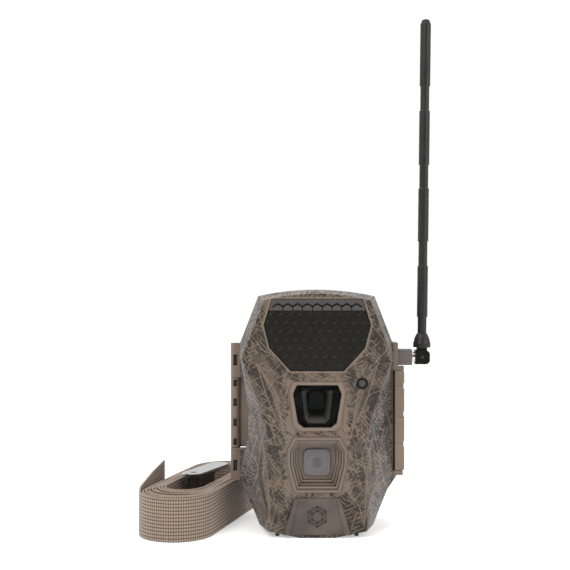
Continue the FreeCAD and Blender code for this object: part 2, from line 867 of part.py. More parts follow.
def battery_tray():
    """The cartridge: a floor and a cap joined by end walls and a middle web."""
    top = "tray_low_z + tray_height"
    depth = ("0.3", "tray_depth")
    floor = block(("-tray_half", "tray_half"), depth, ("tray_low_z", "tray_low_z + tray_wall"))
    cap = block(("-tray_half", "tray_half"), depth, ("%s - tray_wall" % top, top))
    walls = [block(x, depth, ("tray_low_z", top))
             for x in (("-tray_half", "-tray_half + 1.4"), ("tray_half - 1.4", "tray_half"))]
    grip_y = ("12", "17")
    grip = block(("-9", "9"), grip_y, ("%s + 5" % top, "%s + 7.5" % top))
    stems = [block(x, grip_y, (top, "%s + 6" % top)) for x in (("-9", "-6.5"), ("6.5", "9"))]
    return fuse(floor, cap, grip, *(walls + stems))


def battery_contacts():
    """Contact strips in the foot of the battery well."""
    return group(*[block((x, "%s + 8" % x), ("10", "20"), ("wall + 1.2", "tray_low_z - 0.4"))
                   for x in ("-16", "8")])


# ---------------------------------------------------------------- latch and antenna

def latch_lever():
    """The over-centre side latch: a grooved lever with a hook that holds both flanges."""
    lever = block(("latch_in_x", "latch_out_x"), ("-latch_front_y", "latch_back_y"),
                  ("latch_low_z", "latch_top_z"))
    hook = block(("latch_in_x - 1.8", "latch_in_x"), ("flange_thick + 2 * seam_gap", "latch_back_y"),
                 ("latch_low_z + 1", "latch_top_z - 1"))
    body = fillet(fuse(lever, hook), 0.9, outer_latch_edge)
    grooves = [block(("latch_out_x - 0.6", "latch_out_x + 1"), ("-latch_front_y - 1", "8"), span)
               for span in (("83.4", "86.7"), ("66.6", "69.9"), ("48.8", "52.3"))]
    return cut(body, latch_bore(), *grooves)


def outer_latch_edge(edge):
    """The lever's outer upright edges and its top and bottom outer edges."""
    return edge.BoundBox.XMin > number("latch_out_x") - 0.01


def antenna_boss():
    """The block that carries the antenna jack out of the case."""
    body = block(("48.4", "boss_out_x"), ("-antenna_y - boss_half", "-antenna_y + boss_half"),
                 ("antenna_z - boss_half", "antenna_z + boss_half"))
    bore = rod("x", ("47", "-antenna_y", "antenna_z"), "14", "jack_radius + pin_gap")
    return cut(fillet(body, 1.2, along("x")), bore)


KNUCKLE_ROUND = 2.5


def antenna_knuckle():
    """The antenna's elbow: a block with a slot for the whip's tongue.

    Its outer end is rounded, so that the foot of the bell clears it as the whip tilts.
    """
    body = block(("knuckle_in_x", "knuckle_out_x"),
                 ("-antenna_y - knuckle_half", "-antenna_y + knuckle_half"),
                 ("antenna_z - knuckle_half", "antenna_z + knuckle_half"))
    slot = block(("whip_x - tongue_radius - 0.2", "knuckle_out_x + 1"),
                 ("-antenna_y - tongue_thick / 2 - 0.1", "-antenna_y + tongue_thick / 2 + 0.1"),
                 ("antenna_z - tongue_radius - 0.2", "antenna_z + 6"))
    bore = rod("y", ("whip_x", "-antenna_y - 6", "antenna_z"), "12", "elbow_pin_radius")
    crosswise = along("y")
    swept_x = number("whip_x")
    rounded = fillet(body, KNUCKLE_ROUND, lambda edge: crosswise(edge) and edge.BoundBox.XMin > swept_x)
    return cut(rounded, slot, bore)


# Heights and radii above the elbow's pin: the bell at the foot, then sleeves to the tip
BELL = ((0, 5.8), (5.2, 5.8), (5.2, 8.1), (4.3, 11.5), (3.15, 13.9))
SLEEVES = ((13.9, 23.7, 2.65), (23.7, 54.3, 3.15), (54.3, 68.9, 2.65), (68.9, 100.5, 3.15),
           (100.5, 114.5, 2.65), (114.5, 146.9, 3.15), (146.9, 161.6, 2.65), (161.6, 198.8, 3.15))
TIP = ((2.2, 201.0), (0, 201.8))
SLEEVE_STEP = 0.3


def whip_profile():
    """Radius and height of the whip's outline, from the bell to the rounded tip."""
    steps = list(BELL)
    for low, top, radius in SLEEVES:
        steps += [(radius, low + SLEEVE_STEP), (radius, top - SLEEVE_STEP)]
    return steps + list(TIP)


def antenna_whip():
    """The sleeved whip on its flat tongue, leaning a little outwards about the elbow's pin."""
    points = [V(x, 0, z) for x, z in whip_profile()]
    outline = Part.makePolygon(points + [points[0]])
    whip = doc.addObject("Part::Feature", "whip")
    whip.Shape = Part.Face(outline).revolve(V(), V(0, 0, 1), 360)
    tongue = fuse(block(("-tongue_radius", "tongue_radius"),
                        ("-tongue_thick / 2", "tongue_thick / 2"), ("0", "6.1")),
                  rod("y", ("0", "-tongue_thick / 2", "0"), "tongue_thick", "tongue_radius"))
    bore = rod("y", ("0", "-6", "0"), "12", "elbow_pin_radius + pin_gap")
    body = cut(fuse(whip, tongue), bore)
    body.Placement = FreeCAD.Placement(V(), FreeCAD.Rotation(V(0, 1, 0), number("whip_lean")))
    place(body, "whip_x", "-antenna_y", "antenna_z")
    return body


# ---------------------------------------------------------------- strap and buckle

def turned(thing, angle, x, y):
    """Lay a sub-part modelled about its own middle at an angle on the floor."""
    thing.Placement = FreeCAD.Placement(V(), FreeCAD.Rotation(V(0, 0, 1), number(angle)))
    place(thing, x, y, "0")
    return thing


def oval(drawing, length, width, x="0", y="0"):
    """A long oval with semicircular ends about a centre."""
    half = "((%s) - (%s)) / 2" % (length, width)
    radius = "(%s) / 2" % width
    corners = [("-", "-"), ("+", "-"), ("+", "+"), ("-", "+")]
    points = [("%s %s %s" % (x, i, half), "%s %s %s" % (y, j, radius)) for i, j in corners]
    end = (radius, "(%s) * 0.999" % radius)
    loop(drawing, points, {1: end, 3: end})


def mounting_strap():
    """The rolled webbing, a thick wrap round a hollow, and its upturned tail."""
    roll = new_body("roll")
    drawing = sketch(roll, "XY_Plane", "0")
    oval(drawing, "roll_length", "roll_width")
    oval(drawing, "hollow_length", "hollow_width", "hollow_x", "hollow_y")
    pad(roll, drawing, "webbing_width")
    tail = block(("-tail_start", "-tail_end"), ("roll_width / 2 - 3", "roll_width / 2 - 0.4"),
                 ("webbing_width - 3", "tail_top_z"))
    return turned(fuse(roll, tail), "roll_turn", "roll_x", "roll_y")


def in_roll(thing):
    """Lay a part of the buckle in the hollow of the roll."""
    along_roll = ("cos(roll_turn)", "sin(roll_turn)")
    x = "roll_x + buckle_along * %s - buckle_across * %s" % along_roll
    y = "roll_y + buckle_along * %s + buckle_across * %s" % along_roll[::-1]
    return turned(thing, "buckle_turn", x, y)


def cheek_outline():
    """The cheek plate's long octagon, anticlockwise from its right-hand front corner."""
    far, wide = "cheek_length / 2", "cheek_width / 2"
    far_flat, wide_flat = far + " - cheek_chamfer", wide + " - cheek_chamfer"
    right = [(far_flat, "-(%s)" % wide), (far, "-(%s)" % wide_flat), (far, wide_flat),
             (far_flat, wide)]
    left = [("-(%s)" % x, y) for x, y in reversed(right)]
    return right + left


def buckle_bore(growth):
    """A bore on the cam's axis, wider than its pin by a gap."""
    return rod("z", ("-cam_x", "0", "-1"), "buckle_top_z + 4", "cam_pin_radius + " + growth)


def buckle_frame():
    """The cam buckle's two cheeks and the bar between them."""
    cheeks = []
    for low in ("buckle_low_z", "buckle_top_z - cheek_thick"):
        body = new_body("cheek")
        drawing = sketch(body, "XY_Plane", low)
        loop(drawing, cheek_outline())
        pad(body, drawing, "cheek_thick")
        cheeks.append(body)
    bar = block(("-8", "16"), ("cheek_width / 2 - 2", "cheek_width / 2"),
                ("buckle_low_z + 1", "buckle_top_z - 1"))
    return in_roll(cut(fuse(bar, *cheeks), buckle_bore("0.02")))


def buckle_cam():
    """The toothed cam and its thumb lever."""
    low, top = "buckle_low_z + cheek_thick + 0.3", "buckle_top_z - cheek_thick - 0.3"
    hub = rod("z", ("-cam_x", "0", low), "(%s) - (%s)" % (top, low), "cam_radius")
    lever = block(("-cam_x", "4"), ("-4.0", "-1.6"), (low, top))
    return in_roll(cut(fuse(hub, lever), buckle_bore("pin_gap")))


def buckle_pin():
    """The pin that the cam turns on."""
    pin = rod("z", ("-cam_x", "0", "buckle_low_z"), "buckle_top_z - buckle_low_z", "cam_pin_radius")
    return in_roll(group(pin))


# ---------------------------------------------------------------- assembly

def build_case():
    """The housing, the door, and what joins and supports them."""
    seal = node("gasket", gasket())
    feet = node("feet", rubber_feet())
    node("front_housing", front_housing(seal, feet))
    node("rear_door", rear_door())
    node("hinge_pin", rod("z", ("-hinge_x", "0", "knuckle_low_z + 1.2"),
                          "knuckle_top_z - knuckle_low_z - 1.4", "hinge_pin_radius"))
    insert = cut(rod("z", ("0", "0", "0"), "thread_depth", "insert_radius"),
                 rod("z", ("0", "0", "-1"), "thread_depth + 2", "thread_radius"))
    node("tripod_insert", insert)


def build_infrared_window():
    """The dark window and the emitters behind it."""
    front = "-front_depth + window_sunk"
    node("ir_window", plate("ir_window", WINDOW, front, front + " + window_thick"))
    node("ir_led_board", board(("-24", "24"), "-front_depth + 8.7", ("99", "136")))
    node("ir_leds", led_array())


def build_lens():
    """The lens behind its window, in a flared hood."""
    node("lens_bezel", lens_bezel())
    pane = scaled(EYE, "-fit_gap")
    node("lens_window", plate("lens_window", pane, "-front_depth + 0.6", "-front_depth + 1.8"))
    node("lens_hood", lens_hood())
    tube = rod("y", ("0", "-front_depth + barrel_back", "lens_z"), "6", "7.0")
    seat = rod("y", ("0", "-front_depth + 12", "lens_z"), "3.6", "lens_radius")
    node("lens_barrel", cut(tube, seat))
    node("lens_glass", rod("y", ("0", "-front_depth + 12.4", "lens_z"), "3.2", "lens_radius"))
    node("sensor_board", board(("-12", "12"), "-front_depth + 18.2", ("66", "89")))


def build_sensors():
    """The motion sensor, the light sensor and the plain badge."""
    node("pir_bezel", pir_bezel())
    node("pir_lens", pir_lens())
    node("pir_sensor", rod("y", ("0", "-front_depth + 8.8", "sensor_z"), "4.2", "4.6"))
    node("pir_board", board(("-13", "13"), "-front_depth + 13.1", ("30", "55")))
    node("badge_plate", badge_plate())
    node("light_sensor", light_sensor())
    node("light_sensor_lens", rod("y", ("photocell_x", "-front_depth - 0.2", "photocell_z"),
                                  "0.7", "2.0"))


def build_radio():
    """The radio module and the way out to the antenna."""
    node("cell_module", block(("-12", "18"), ("-19", "-15"), ("101", "127")))
    node("antenna_boss", antenna_boss())
    node("antenna_jack", rod("x", ("41", "-antenna_y", "antenna_z"), "knuckle_in_x - 41.2",
                             "jack_radius"))
    node("coax_cable", coax_cable())


def build_electronics():
    """The main board, and everything on the panel seen with the door open."""
    node("main_board", board(("-33", "33"), "-main_board_y", ("42", "96")))
    node("board_screws", group(*[rod("y", (x, "-main_board_y + board_thick", z), "screw_head",
                                     "screw_radius") for x, z in BOARD_SCREWS]))
    node("control_panel", control_panel())
    node("panel_screws", group(*[rod("y", (x, "-panel_front_y + panel_thick", z), "screw_head",
                                     "screw_radius") for x, z in PANEL_SCREWS]))
    node("display", block(("-31.8", "5.8"), ("-panel_front_y - 1.8", "-panel_front_y - 0.1"),
                          ("98.5", "127.5")))
    for name, (x, z) in BUTTON_PLACES.items():
        node(name, push_button(x, z))
    node("mode_switch", mode_switch())
    node("sd_socket", card_socket(("10", "36"), ("70", "92")))
    node("sd_card", block(("11.2", "34.8"), ("-3.6", "-1.5"), ("71.4", "101")))
    node("sim_socket", card_socket(("-33", "-18.8"), ("63", "75")))
    node("sim_card", block(("-31.8", "-20"), ("-3.2", "-2.4"), ("64.4", "78")))
    node("battery_contacts", battery_contacts())


def build_moving_parts():
    """The latch, the battery cartridge, the antenna and the strap."""
    node("latch_lever", latch_lever())
    node("latch_pin", rod("z", ("latch_pin_x", "-latch_pin_y", "latch_low_z - 1.9"),
                          "latch_top_z - latch_low_z + 3.7", "latch_pin_radius"))
    node("battery_tray", battery_tray())
    node("batteries", batteries())
    node("antenna_knuckle", antenna_knuckle())
    node("antenna_pin", rod("y", ("whip_x", "-antenna_y - knuckle_half + 0.1", "antenna_z"),
                            "2 * knuckle_half - 0.2", "elbow_pin_radius"))
    node("antenna_whip", antenna_whip())
    node("mounting_strap", mounting_strap())
    node("buckle_frame", buckle_frame())
    node("buckle_cam", buckle_cam())
    node("buckle_pin", buckle_pin())


def check_document():
    """Stop if any feature failed or any sub-part isn't a sound closed shape."""
    doc.recompute()
    failed = [thing.Label for thing in doc.Objects if {"Invalid", "Error"} & set(thing.State)]
    if failed:
        raise RuntimeError("failed features: " + ", ".join(failed))
    for name, thing in NODES.items():
        shape = thing.Shape
        if shape.isNull() or not shape.isValid() or not shape.Solids or shape.Volume <= 0:
            raise RuntimeError("unsound sub-part: " + name)


def export_parts():
    """Write each sub-part to its own file."""
    os.makedirs("parts", exist_ok=True)
    for name, thing in NODES.items():
        thing.Shape.exportStep("parts/%s.step" % name)


build_case()
build_infrared_window()
build_lens()
build_sensors()
build_radio()
build_electronics()
build_moving_parts()
check_document()
export_parts()
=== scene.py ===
import json
import math

import bmesh
import bpy
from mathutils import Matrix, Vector


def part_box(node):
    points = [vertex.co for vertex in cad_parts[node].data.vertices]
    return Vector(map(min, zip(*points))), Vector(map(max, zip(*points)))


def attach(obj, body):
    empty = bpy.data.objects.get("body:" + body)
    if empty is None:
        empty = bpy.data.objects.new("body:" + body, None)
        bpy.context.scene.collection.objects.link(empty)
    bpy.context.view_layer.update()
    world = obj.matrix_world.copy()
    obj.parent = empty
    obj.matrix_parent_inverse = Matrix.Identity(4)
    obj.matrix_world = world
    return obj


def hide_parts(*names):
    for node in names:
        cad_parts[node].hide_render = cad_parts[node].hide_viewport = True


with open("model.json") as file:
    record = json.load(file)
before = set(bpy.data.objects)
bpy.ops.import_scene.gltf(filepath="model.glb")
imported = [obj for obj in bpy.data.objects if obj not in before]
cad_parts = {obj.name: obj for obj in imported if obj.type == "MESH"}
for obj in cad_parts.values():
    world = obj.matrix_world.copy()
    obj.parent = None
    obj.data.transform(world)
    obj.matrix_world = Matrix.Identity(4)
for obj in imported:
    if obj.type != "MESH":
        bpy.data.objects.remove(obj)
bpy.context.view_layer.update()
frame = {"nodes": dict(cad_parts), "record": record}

MM = 0.001
NODES = frame["nodes"]


# ---------------------------------------------------------------- camera, floor and light

CAMERA_PLACE = (-0.0185, -0.600, 0.145)
CAMERA_LENS = 62.6


def make_camera():
    """A level camera square to the front of the case, left of its middle."""
    data = bpy.data.cameras.new("camera")
    data.lens = CAMERA_LENS
    data.sensor_width = 36
    camera = bpy.data.objects.new("camera", data)
    camera.location = CAMERA_PLACE
    camera.rotation_euler = (math.radians(90), 0, 0)
    bpy.context.collection.objects.link(camera)
    bpy.context.scene.camera = camera


def soft_light(name, place, target, size, power, colour=(1, 1, 1)):
    """A square area light aimed at a point."""
    data = bpy.data.lights.new(name, "AREA")
    data.size = size
    data.energy = power
    data.color = colour
    light = bpy.data.objects.new(name, data)
    light.location = place
    aim = Vector(target) - Vector(place)
    light.rotation_euler = aim.to_track_quat("-Z", "Y").to_euler()
    bpy.context.collection.objects.link(light)


def make_studio():
    """A bright surround, and soft lights from above and both sides."""
    world = bpy.data.worlds.new("surround")
    bpy.context.scene.world = world
    world.use_nodes = True
    background = world.node_tree.nodes["Background"]
    background.inputs["Color"].default_value = (1.0, 1.0, 1.0, 1)
    background.inputs["Strength"].default_value = 1.02
    middle = (0.0, 0.0, 0.08)
    soft_light("key_light", (-0.50, -0.70, 0.85), middle, 0.5, 7)
    soft_light("fill_light", (0.75, -0.65, 0.45), middle, 0.6, 4)
    soft_light("top_light", (0.0, 0.20, 1.1), middle, 0.9, 5)
    bpy.context.scene.view_settings.view_transform = "Standard"


def make_curtain():
    """A wide dark curtain far behind the camera, seen only in reflections and soft shade."""
    mesh = bpy.data.meshes.new("curtain")
    half, low, high, y = 7.0, -0.5, 6.0, -5.0
    corners = [(-half, y, low), (half, y, low), (half, y, high), (-half, y, high)]
    mesh.from_pydata(corners, [], [(0, 1, 2, 3)])
    curtain = bpy.data.objects.new("curtain", mesh)
    bpy.context.collection.objects.link(curtain)
    cloth = Graph("curtain_cloth")
    weave = cloth.noise(20.0, 2)
    cloth.finish(cloth.mix(cloth.colour(0.02, 0.02, 0.02), cloth.colour(0.03, 0.03, 0.03), weave), 1.0)
    curtain.data.materials.append(cloth.material)
    curtain.visible_camera = False


def make_floor():
    """A wide pale floor that glows a little, so that it runs into the bright surround."""
    mesh = bpy.data.meshes.new("floor")
    half = 4.0
    corners = [(-half, -half, 0), (half, -half, 0), (half, half, 0), (-half, half, 0)]
    mesh.from_pydata(corners, [], [(0, 1, 2, 3)])
    floor = bpy.data.objects.new("floor", mesh)
    bpy.context.collection.objects.link(floor)
    paint = Graph("floor_white")
    grain = paint.noise(40.0, 3)
    colour = paint.mix(paint.colour(0.76, 0.76, 0.76), paint.colour(0.79, 0.79, 0.79), grain)
    paint.finish(colour, roughness=0.9, Emission_Color=(1, 1, 1, 1), Emission_Strength=0.38)
    floor.data.materials.append(paint.material)


# ---------------------------------------------------------------- material graphs

class Graph:
    """A small builder for procedural materials measured in the frame's own metres."""

    def __init__(self, name):
        self.material = bpy.data.materials.new(name)
        self.material.use_nodes = True
        self.tree = self.material.node_tree
        self.shader = self.tree.nodes["Principled BSDF"]
        self.place = self.tree.nodes.new("ShaderNodeTexCoord").outputs["Object"]

    def add(self, kind, links=None, **settings):
        made = self.tree.nodes.new(kind)
        for name, value in settings.items():
            setattr(made, name, value)
        for name, value in (links or {}).items():
            self.put(made.inputs[name], value)
        return made

    def put(self, socket, value):
        if isinstance(value, bpy.types.NodeSocket):
            self.tree.links.new(value, socket)
        else:
            socket.default_value = value

    def colour(self, red, green, blue):
        node = self.add("ShaderNodeRGB")
        node.outputs[0].default_value = (red, green, blue, 1)
        return node.outputs[0]

    def turned(self, turn=(0, 0, 0), scale=(1, 1, 1), shift=(0, 0, 0), vector=None):
        """Coordinates turned about each axis, in degrees, and then stretched."""
        turned = self.add("ShaderNodeVectorRotate", {"Vector": vector or self.place},
                          rotation_type="EULER_XYZ")
        turned.inputs["Rotation"].default_value = [math.radians(angle) for angle in turn]
        stretched = self.add("ShaderNodeMapping", {"Vector": turned.outputs[0]})
        stretched.inputs["Scale"].default_value = scale
        stretched.inputs["Location"].default_value = shift
        return stretched.outputs[0]

    def noise(self, scale, detail=2, vector=None, roughness=0.5, distortion=0.0):
        made = self.add("ShaderNodeTexNoise", {"Vector": vector or self.place, "Scale": scale,
                                               "Detail": detail, "Roughness": roughness,
                                               "Distortion": distortion})
        return made.outputs["Fac"]

    def voronoi(self, scale, vector=None, feature="F1", output="Distance"):
        made = self.add("ShaderNodeTexVoronoi", {"Vector": vector or self.place, "Scale": scale},
                        feature=feature)
        return made.outputs[output]

    def step(self, value, low, high, to_low=0.0, to_high=1.0):
        """A smooth step of a value between two levels."""
        made = self.add("ShaderNodeMapRange", {"Value": value, "From Min": low, "From Max": high,
                                               "To Min": to_low, "To Max": to_high},
                        interpolation_type="SMOOTHSTEP")
        return made.outputs["Result"]

    def tone(self, base, share):
        """A colour made lighter or darker by a share."""
        return self.colour(*[min(1, channel * share) for channel in base])

    def front_plane(self):
        """Distance from the middle plane, and height, as one folded coordinate."""
        across = self.maths("ABSOLUTE", self.part("X"))
        return self.add("ShaderNodeCombineXYZ", {"X": across, "Z": self.part("Z")}).outputs[0]

    def maths(self, operation, first, second=0.0):
        made = self.add("ShaderNodeMath", operation=operation)
        self.put(made.inputs[0], first)
        self.put(made.inputs[1], second)
        return made.outputs[0]

    def mix(self, first, second, factor):
        made = self.add("ShaderNodeMix", data_type="RGBA")
        self.put(made.inputs["Factor"], factor)
        self.put(made.inputs[6], first)
        self.put(made.inputs[7], second)
        return made.outputs[2]

    def part(self, axis, vector=None):
        """One coordinate."""
        made = self.add("ShaderNodeSeparateXYZ", {"Vector": vector or self.place})
        return made.outputs[axis]

    def beyond(self, vector, start, end):
        """Distance of a point in x and z to the left of the line from start to end."""
        along = (Vector(end) - Vector(start)).normalized()
        normal = (-along.y, 0.0, along.x)
        dot = self.add("ShaderNodeVectorMath", {0: vector}, operation="DOT_PRODUCT")
        dot.inputs[1].default_value = normal
        offset = normal[0] * start[0] + normal[2] * start[1]
        return self.maths("SUBTRACT", dot.outputs["Value"], offset)

    def bump(self, height, strength, distance):
        made = self.add("ShaderNodeBump", {"Height": height, "Strength": strength,
                                           "Distance": distance})
        return made.outputs["Normal"]

    def finish(self, colour, roughness=0.5, normal=None, **sockets):
        self.put(self.shader.inputs["Base Color"], colour)
        self.put(self.shader.inputs["Roughness"], roughness)
        if normal is not None:
            self.put(self.shader.inputs["Normal"], normal)
        for name, value in sockets.items():
            self.put(self.shader.inputs[name.replace("_", " ")], value)
        return self.material


def moulded(name, base, roughness=0.5, spread=0.12, texture=2600.0, depth=0.00005, **sockets):
    """Moulded plastic or rubber: slow colour drift, fine pebbling, and uneven gloss."""
    graph = Graph(name)
    drift = graph.noise(55.0, 4)
    lighter, darker = graph.tone(base, 1 + spread), graph.tone(base, 1 - spread)
    colour = graph.mix(darker, lighter, graph.step(drift, 0.35, 0.65))
    pebble = graph.noise(texture, 2)
    gloss = graph.step(graph.noise(180.0, 3), 0.3, 0.7, roughness - 0.06, roughness + 0.06)
    return graph.finish(colour, gloss, graph.bump(pebble, 0.35, depth), **sockets)


def brushed_metal(name, base, roughness=0.3):
    """Metal with fine lines along its length."""
    graph = Graph(name)
    lines = graph.noise(900.0, 3, graph.turned(scale=(1, 1, 0.05)))
    colour = graph.mix(graph.tone(base, 0.75), graph.colour(*base), lines)
    gloss = graph.step(lines, 0.2, 0.8, roughness - 0.08, roughness + 0.1)
    return graph.finish(colour, gloss, graph.bump(lines, 0.2, 0.00003), Metallic=1.0)


TAN = (0.170, 0.127, 0.096)
BARK_TAN = (0.110, 0.080, 0.058)
BARK_BROWN = (0.060, 0.043, 0.031)
BARK_DARK = (0.016, 0.012, 0.009)
BARK_GREEN = (0.020, 0.019, 0.013)
STALK = (0.215, 0.165, 0.127)
# Painted sheen: greyer flanks with paler stalks stand in for the flanks' reflection of the bright
# surround
FLANK_SHEEN_GREY = (0.165, 0.145, 0.140)
FLANK_SHEEN_STALK = (0.245, 0.212, 0.198)
# Width of the plain zone round the lens and the sensor, and how far its edge wanders
PLAIN_RIM = 2.6 * MM
PLAIN_WANDER = 2.4 * MM
# The unprinted mounts of the hinge and the latch lie outside this width, below this height
HARDWARE_X = 45.6 * MM
HINGE_TOP = 112.0 * MM
# Depths between which the front face's looks give way to the flanks', which carry a painted sheen
FACE_Y = -31.5 * MM
FLANK_Y = -28.0 * MM
# Families of stalks: lean in degrees, seed, spacing and length in mm, and scale of their patches
STALK_NETS = ((40, 3.1, 1.9, 6.0, 110.0), (-42, 8.3, 2.1, 6.0, 120.0), (68, 13.9, 2.0, 5.0, 130.0),
              (-66, 17.3, 2.2, 6.0, 120.0), (12, 5.7, 3.4, 14.0, 90.0), (-16, 21.4, 3.2, 14.0, 90.0))
STALK_WIDTH = 0.28 * MM

# Shallow kite-shaped facets moulded into each side of the front, in |x| and z in mm, anticlockwise
UPPER_DART = ((19.8, 60.9), (28.6, 80.0), (34.7, 99.8), (23.2, 83.0))
LOWER_DART = ((27.0, 9.0), (34.8, 32.0), (31.9, 57.5), (28.2, 34.0))


def stalks(graph, turn, seed, spacing, length, width):
    """Straight pale stalks that lean by an angle in the front's plane, each of its own length."""
    vector = graph.turned((0, turn, 0), shift=(seed * spacing, 0, 0))
    wander = graph.maths("MULTIPLY", graph.noise(30.0, 1, vector), spacing)
    across = graph.maths("ADD", graph.part("X", vector), wander)
    lane = graph.maths("DIVIDE", across, spacing)
    off_middle = graph.maths("ABSOLUTE", graph.maths("SUBTRACT", graph.maths("FRACT", lane), 0.5))
    line = graph.step(off_middle, width * 0.5 / spacing, width * 0.9 / spacing, 1.0, 0.0)
    cell = graph.add("ShaderNodeCombineXYZ", {"X": graph.maths("FLOOR", lane), "Y": seed,
                     "Z": graph.maths("DIVIDE", graph.part("Z", vector), length)}).outputs[0]
    present = graph.step(graph.noise(1.0, 0, cell), 0.46, 0.50)
    return graph.maths("MULTIPLY", line, present)


def patch(graph, turn, seed, scale, low, high):
    """A soft-edged patch stretched along a direction."""
    vector = graph.turned((0, turn, 0), (scale, scale * 0.6, scale * 0.45), (seed, seed, seed))
    return graph.step(graph.noise(1.0, 3, vector, 0.6, 0.4), low, high)


def inside_of(graph, front, corners):
    """Distance inside a convex outline drawn anticlockwise; it is negative outside."""
    depth = None
    for start, end in zip(corners, corners[1:] + corners[:1]):
        side = graph.beyond(front, start, end)
        depth = side if depth is None else graph.maths("MINIMUM", depth, side)
    return depth


def moulded_dart(graph, front, colour, outline):
    """Lay a kite-shaped facet over a colour: painted light on one flank, painted shade on the other,
    and a painted highlight along its edge.
    """
    points = [(x * MM, z * MM) for x, z in outline]
    sides = [graph.beyond(front, start, end) for start, end in zip(points, points[1:] + points[:1])]
    outer = graph.maths("MINIMUM", sides[0], sides[1])
    inner = graph.maths("MINIMUM", sides[2], sides[3])
    depth = graph.maths("MINIMUM", outer, inner)
    inside = graph.step(depth, 0.0, 0.4 * MM)
    # Painted light and shade: one flank of the facet is painted lighter, the other darker
    flank = graph.step(graph.maths("SUBTRACT", outer, inner), -0.3 * MM, 0.3 * MM)
    shade = graph.mix(graph.colour(*BARK_DARK), graph.colour(*TAN), flank)
    colour = graph.mix(colour, shade, graph.maths("MULTIPLY", inside, 0.42))
    # Painted highlight: a pale line along the facet's edge
    rim = graph.maths("MULTIPLY", graph.step(depth, -0.5 * MM, -0.1 * MM),
                      graph.step(depth, 0.1 * MM, 0.5 * MM, 1.0, 0.0))
    colour = graph.mix(colour, graph.colour(*TAN), graph.maths("MULTIPLY", rim, 0.75))
    return colour, graph.maths("MULTIPLY", graph.maths("MAXIMUM", depth, 0.0), 0.35)


def around(graph, node_name):
    """Distance outside a node's box, in the plane of the front face."""
    low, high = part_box(node_name)
    reaches = []
    for axis, start, end in (("X", low.x, high.x), ("Z", low.z, high.z)):
        offset = graph.maths("SUBTRACT", graph.part(axis), (start + end) / 2)
        reaches.append(graph.maths("SUBTRACT", graph.maths("ABSOLUTE", offset), (end - start) / 2))
    return graph.maths("MAXIMUM", *reaches)


def bark_pattern(graph):
    """The printed bark's dark hollows, and the fine pale stalks that cross them."""
    drift = graph.noise(60.0, 3, roughness=0.6)
    grain = graph.noise(1.0, 3, graph.turned((0, -30, 0), (900, 500, 160)))
    brown = graph.mix(graph.colour(*BARK_BROWN), graph.colour(*BARK_TAN),
                      graph.step(drift, 0.38, 0.60))
    hollow = graph.mix(graph.colour(*BARK_DARK), graph.colour(*BARK_GREEN),
                       graph.step(drift, 0.45, 0.55))
    cells = graph.voronoi(1.0, graph.turned((0, 32, 0), (520, 300, 250)), output="Color")
    # Dark patches, and more of them towards the bottom
    low_down = graph.step(graph.part("Z"), 25 * MM, 60 * MM, 0.8, 0.0)
    dark_patches = graph.maths("MULTIPLY", patch(graph, -20, 9.0, 100.0, 0.36, 0.50), low_down)
    dark_patches = graph.maths("MAXIMUM", patch(graph, 24, 4.0, 115.0, 0.40, 0.54), dark_patches)
    dark = graph.maths("MULTIPLY", dark_patches, graph.step(graph.part("X", cells), 0.22, 0.34))
    colour = graph.mix(brown, hollow, graph.maths("MULTIPLY", dark, 0.85))
    fine = graph.maths("MULTIPLY", graph.step(grain, 0.50, 0.60), 0.5)
    colour = graph.mix(colour, graph.colour(*BARK_DARK), fine)
    marks = None
    for turn, seed, spacing, length, spread in STALK_NETS:
        net = stalks(graph, turn, seed, spacing * MM, length * MM, STALK_WIDTH)
        shown = patch(graph, turn, seed + 5, spread, 0.48, 0.56)
        net = graph.maths("MULTIPLY", net, shown)
        marks = net if marks is None else graph.maths("MAXIMUM", marks, net)
    return colour, graph.maths("MULTIPLY", marks, 0.72)


def hardware(graph):
    """One over the hinge bar and the latch's mounts beside the case, which have no print."""
    side = graph.maths("ABSOLUTE", graph.part("X"))
    below = graph.step(graph.part("Z"), HINGE_TOP, HINGE_TOP + 0.2 * MM, 1.0, 0.0)
    return graph.maths("MULTIPLY", graph.step(side, HARDWARE_X, HARDWARE_X + 0.2 * MM), below)


def window_edge_highlight(graph, front):
    """One along a pale line round the infrared window, a painted highlight standing in for the lit
    chamfered edge of its lip.
    """
    outside = graph.maths("MULTIPLY", inside_of(graph, front, window_outline()), -1.0)
    return graph.maths("MULTIPLY", graph.step(outside, 0.1 * MM, 0.4 * MM),
                       graph.step(outside, 0.9 * MM, 1.5 * MM, 1.0, 0.0))


def plain_zone(graph):
    """One round the lens and the motion sensor, on the front face only, with a ragged edge."""
    nearest = graph.maths("MINIMUM", around(graph, "lens_bezel"), around(graph, "pir_bezel"))
    ragged = graph.step(graph.noise(280.0, 3), 0.3, 0.7, -PLAIN_WANDER, PLAIN_WANDER)
    nearest = graph.maths("ADD", nearest, ragged)
    plain = graph.step(nearest, PLAIN_RIM * 0.1, PLAIN_RIM, 1.0, 0.0)
    on_face = graph.step(graph.part("Y"), FACE_Y + 0.5 * MM, FLANK_Y + 1.0 * MM, 1.0, 0.0)
    return graph.maths("MULTIPLY", plain, on_face)


